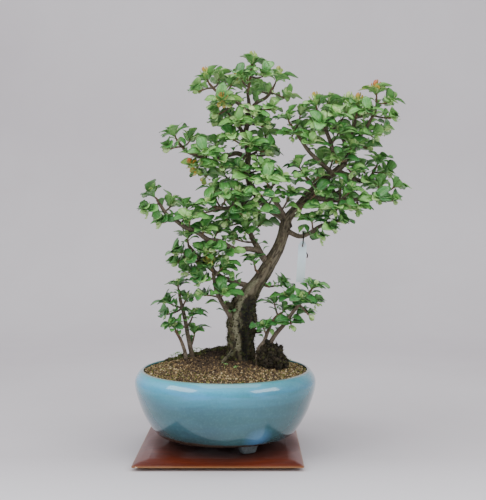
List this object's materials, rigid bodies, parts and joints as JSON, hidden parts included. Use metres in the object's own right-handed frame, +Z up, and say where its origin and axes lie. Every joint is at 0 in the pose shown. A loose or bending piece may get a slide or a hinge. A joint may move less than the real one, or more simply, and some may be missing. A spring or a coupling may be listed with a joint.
{
  "type": "bonsai tree",
  "caption": "Leafy flowering quince bonsai with a leaning, forked trunk and basal suckers, in a round blue-green glazed bowl on a square varnished display board.",
  "frame": {"origin": "centre of the board's underside", "axes": "+Z up, +X to the right of the picture, +Y away from its camera"},
  "size_m": [0.3424, 0.2288, 0.502],
  "materials": {
    "varnish": "gloss",
    "glaze": "gloss",
    "bark": "matte",
    "leaf": "satin",
    "soil": "matte",
    "moss": "matte",
    "plastic": "satin",
    "wire": "satin"
  },
  "bodies": {
    "root": {"board": "varnish", "pot": "glaze", "trunk": "bark", "tag": "plastic", "tag_wire": "wire", "upright_left_branch": "leaf", "long_left_branch": "leaf", "lower_left_branch": "leaf", "trunk_sucker": "leaf", "tag_branch": "leaf", "mid_left_branch": "leaf", "crown_left_branch": "leaf", "crown_right_branch": "leaf", "crown_back_branch": "leaf", "centre_back_branch": "leaf", "centre_left_branch": "leaf", "centre_front_branch": "leaf", "right_back_branch": "leaf", "right_low_branch": "leaf", "right_up_branch": "leaf", "crown_far_left_branch": "leaf", "crown_mid_branch": "leaf", "crown_far_right_branch": "leaf", "crown_rear_branch": "leaf", "left_limb_top_spray": "leaf", "left_limb_high_spray": "leaf", "left_limb_mid_spray": "leaf", "left_limb_rear_spray": "leaf", "left_limb_low_spray": "leaf", "right_limb_low_spray": "leaf", "right_limb_left_spray": "leaf", "right_limb_front_spray": "leaf", "right_limb_rear_spray": "leaf", "right_limb_side_spray": "leaf", "right_limb_top_spray": "leaf", "trunk_left_spray": "leaf", "trunk_right_spray": "leaf", "left_sucker": "leaf", "left_sucker_twin": "leaf", "right_sucker": "leaf", "right_sucker_short": "leaf", "soil": "soil", "root_clump": "moss"}
  },
  "joints": []
}
